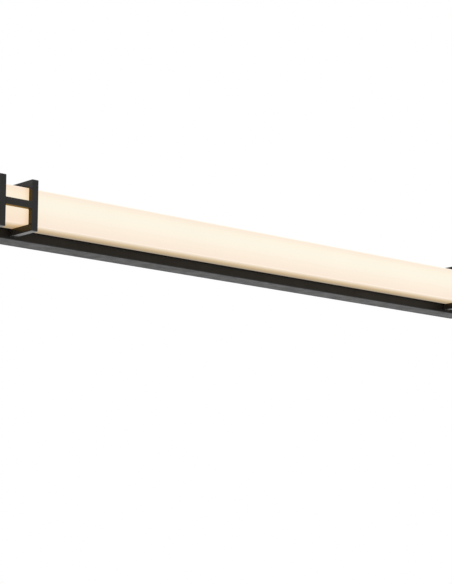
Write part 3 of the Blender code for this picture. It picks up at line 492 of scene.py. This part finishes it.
# ---- Studio and camera -------------------------------------------------------------------------------------
def build_stage():
    """Pale floor, far below the light."""
    shape = bmesh.new()
    place = Matrix.Translation((0, 0, -FLOOR_DROP)) @ Matrix.Diagonal((FLOOR_REACH, FLOOR_REACH, 1, 1))
    bmesh.ops.create_grid(shape, x_segments=1, y_segments=1, size=1, matrix=place)
    floor = link("floor", shape)
    pale = Shader("pale_floor", (0.86, 0.86, 0.86), FLOOR_ROUGHNESS)
    stops = [(0.3, (0.850, 0.850, 0.850)), (0.7, (0.865, 0.865, 0.865))]
    pale.set("Base Color", pale.ramp(pale.noise(0.5, 2.0), stops))
    floor.data.materials.append(pale.material)


def level_towards(tree, way, towards, spread, least):
    """Studio light that rises from least to 1 towards one direction."""
    along = tree.nodes.new("ShaderNodeVectorMath")
    along.operation = "DOT_PRODUCT"
    along.inputs[1].default_value = towards
    tree.links.new(way, along.inputs[0])
    level = tree.nodes.new("ShaderNodeMapRange")
    level.interpolation_type = "SMOOTHSTEP"
    ends = {"From Min": spread[0], "From Max": spread[1], "To Min": least, "To Max": 1.0}
    for name, value in ends.items():
        level.inputs[name].default_value = value
    tree.links.new(along.outputs["Value"], level.inputs["Value"])
    return level.outputs[0]


def build_world():
    """Plain white surroundings: a bright backdrop and overhead light, softer from the room's side."""
    world = bpy.data.worlds.new("studio")
    world.use_nodes = True
    tree = world.node_tree
    sky = tree.nodes["Background"]
    sky.inputs["Color"].default_value = (1.0, 1.0, 1.0, 1.0)
    way = tree.nodes.new("ShaderNodeTexCoord").outputs["Generated"]
    brightest = tree.nodes.new("ShaderNodeLightPath").outputs["Is Camera Ray"]
    for level in (
        level_towards(tree, way, BACKDROP_WAY, BACKDROP_SPREAD, FRONT_LEVEL),
        level_towards(tree, way, OVERHEAD_WAY, OVERHEAD_SPREAD, 0.0),
    ):
        most = tree.nodes.new("ShaderNodeMath")
        most.operation = "MAXIMUM"
        tree.links.new(brightest, most.inputs[0])
        tree.links.new(level, most.inputs[1])
        brightest = most.outputs[0]
    tree.links.new(brightest, sky.inputs["Strength"])
    bpy.context.scene.world = world


def bounce_lamp(name, at, way, size, watts):
    """Hidden lamp on a face of the diffuser, facing out."""
    data = bpy.data.lights.new(name, "AREA")
    data.shape = "RECTANGLE"
    data.size, data.size_y = size
    data.energy = watts
    data.color = GOLD_LIGHT
    made = bpy.data.objects.new(name, data)
    bpy.context.scene.collection.objects.link(made)
    made.location = at
    made.rotation_euler = Vector(way).to_track_quat("-Z", "Y").to_euler()
    made.visible_camera = False
    return made


def cage_objects():
    hoops = [obj for name, obj in NODES.items() if name.startswith("hoop_") and "screw" not in name]
    return hoops + [bpy.data.objects[f"rung_{side}_welded"] for side in SIDES]


def build_gold_light():
    """Gold light from the diffuser on the cage's inner faces: lamps that light the cage alone, in place of the
    diffuser's own glow there."""
    low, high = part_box("diffuser")
    length = 2 * (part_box("hoop_right_outer")[0].x - BOUNCE_INSET)
    middle, depth = (low.y + high.y) / 2, high.y - low.y
    front, under, over = low.y - BOUNCE_GAP, low.z - BOUNCE_GAP, high.z + BOUNCE_GAP
    front_size, edge_size = (length, FRONT_GOLD_HEIGHT), (length, depth)
    lamps = (
        bounce_lamp("bounce_front", (0, front, 0), (0, -1, 0), front_size, FRONT_GOLD_WATTS),
        bounce_lamp("bounce_under", (0, middle, under), (0, 0, -1), edge_size, EDGE_GOLD_WATTS),
        bounce_lamp("bounce_over", (0, middle, over), (0, 0, 1), edge_size, EDGE_GOLD_WATTS),
    )
    spared = bpy.data.collections.new("not_lit_by_diffuser")
    gilded = bpy.data.collections.new("lit_by_bounce")
    for obj in cage_objects():
        spared.objects.link(obj)
        gilded.objects.link(obj)
    for entry in spared.collection_objects:
        entry.light_linking.link_state = "EXCLUDE"
    NODES["diffuser"].light_linking.receiver_collection = spared
    for lamp in lamps:
        lamp.light_linking.receiver_collection = gilded


def build_camera():
    data = bpy.data.cameras.new("camera")
    data.sensor_width = SENSOR
    data.sensor_fit = "AUTO"
    data.lens = FOCAL_LENGTH
    data.clip_start, data.clip_end = NEAREST, FARTHEST
    made = bpy.data.objects.new("camera", data)
    bpy.context.scene.collection.objects.link(made)
    made.location = CAMERA_AT
    yaw, pitch = math.radians(CAMERA_YAW), math.radians(CAMERA_PITCH)
    forward = Vector((math.sin(yaw) * math.cos(pitch), math.cos(yaw) * math.cos(pitch), math.sin(pitch)))
    made.rotation_euler = forward.to_track_quat("-Z", "Y").to_euler()
    bpy.context.scene.camera = made


build_stage()
build_world()
build_gold_light()
build_camera()
bpy.context.scene.view_settings.view_transform = "Standard"
bpy.context.scene.view_settings.look = "None"
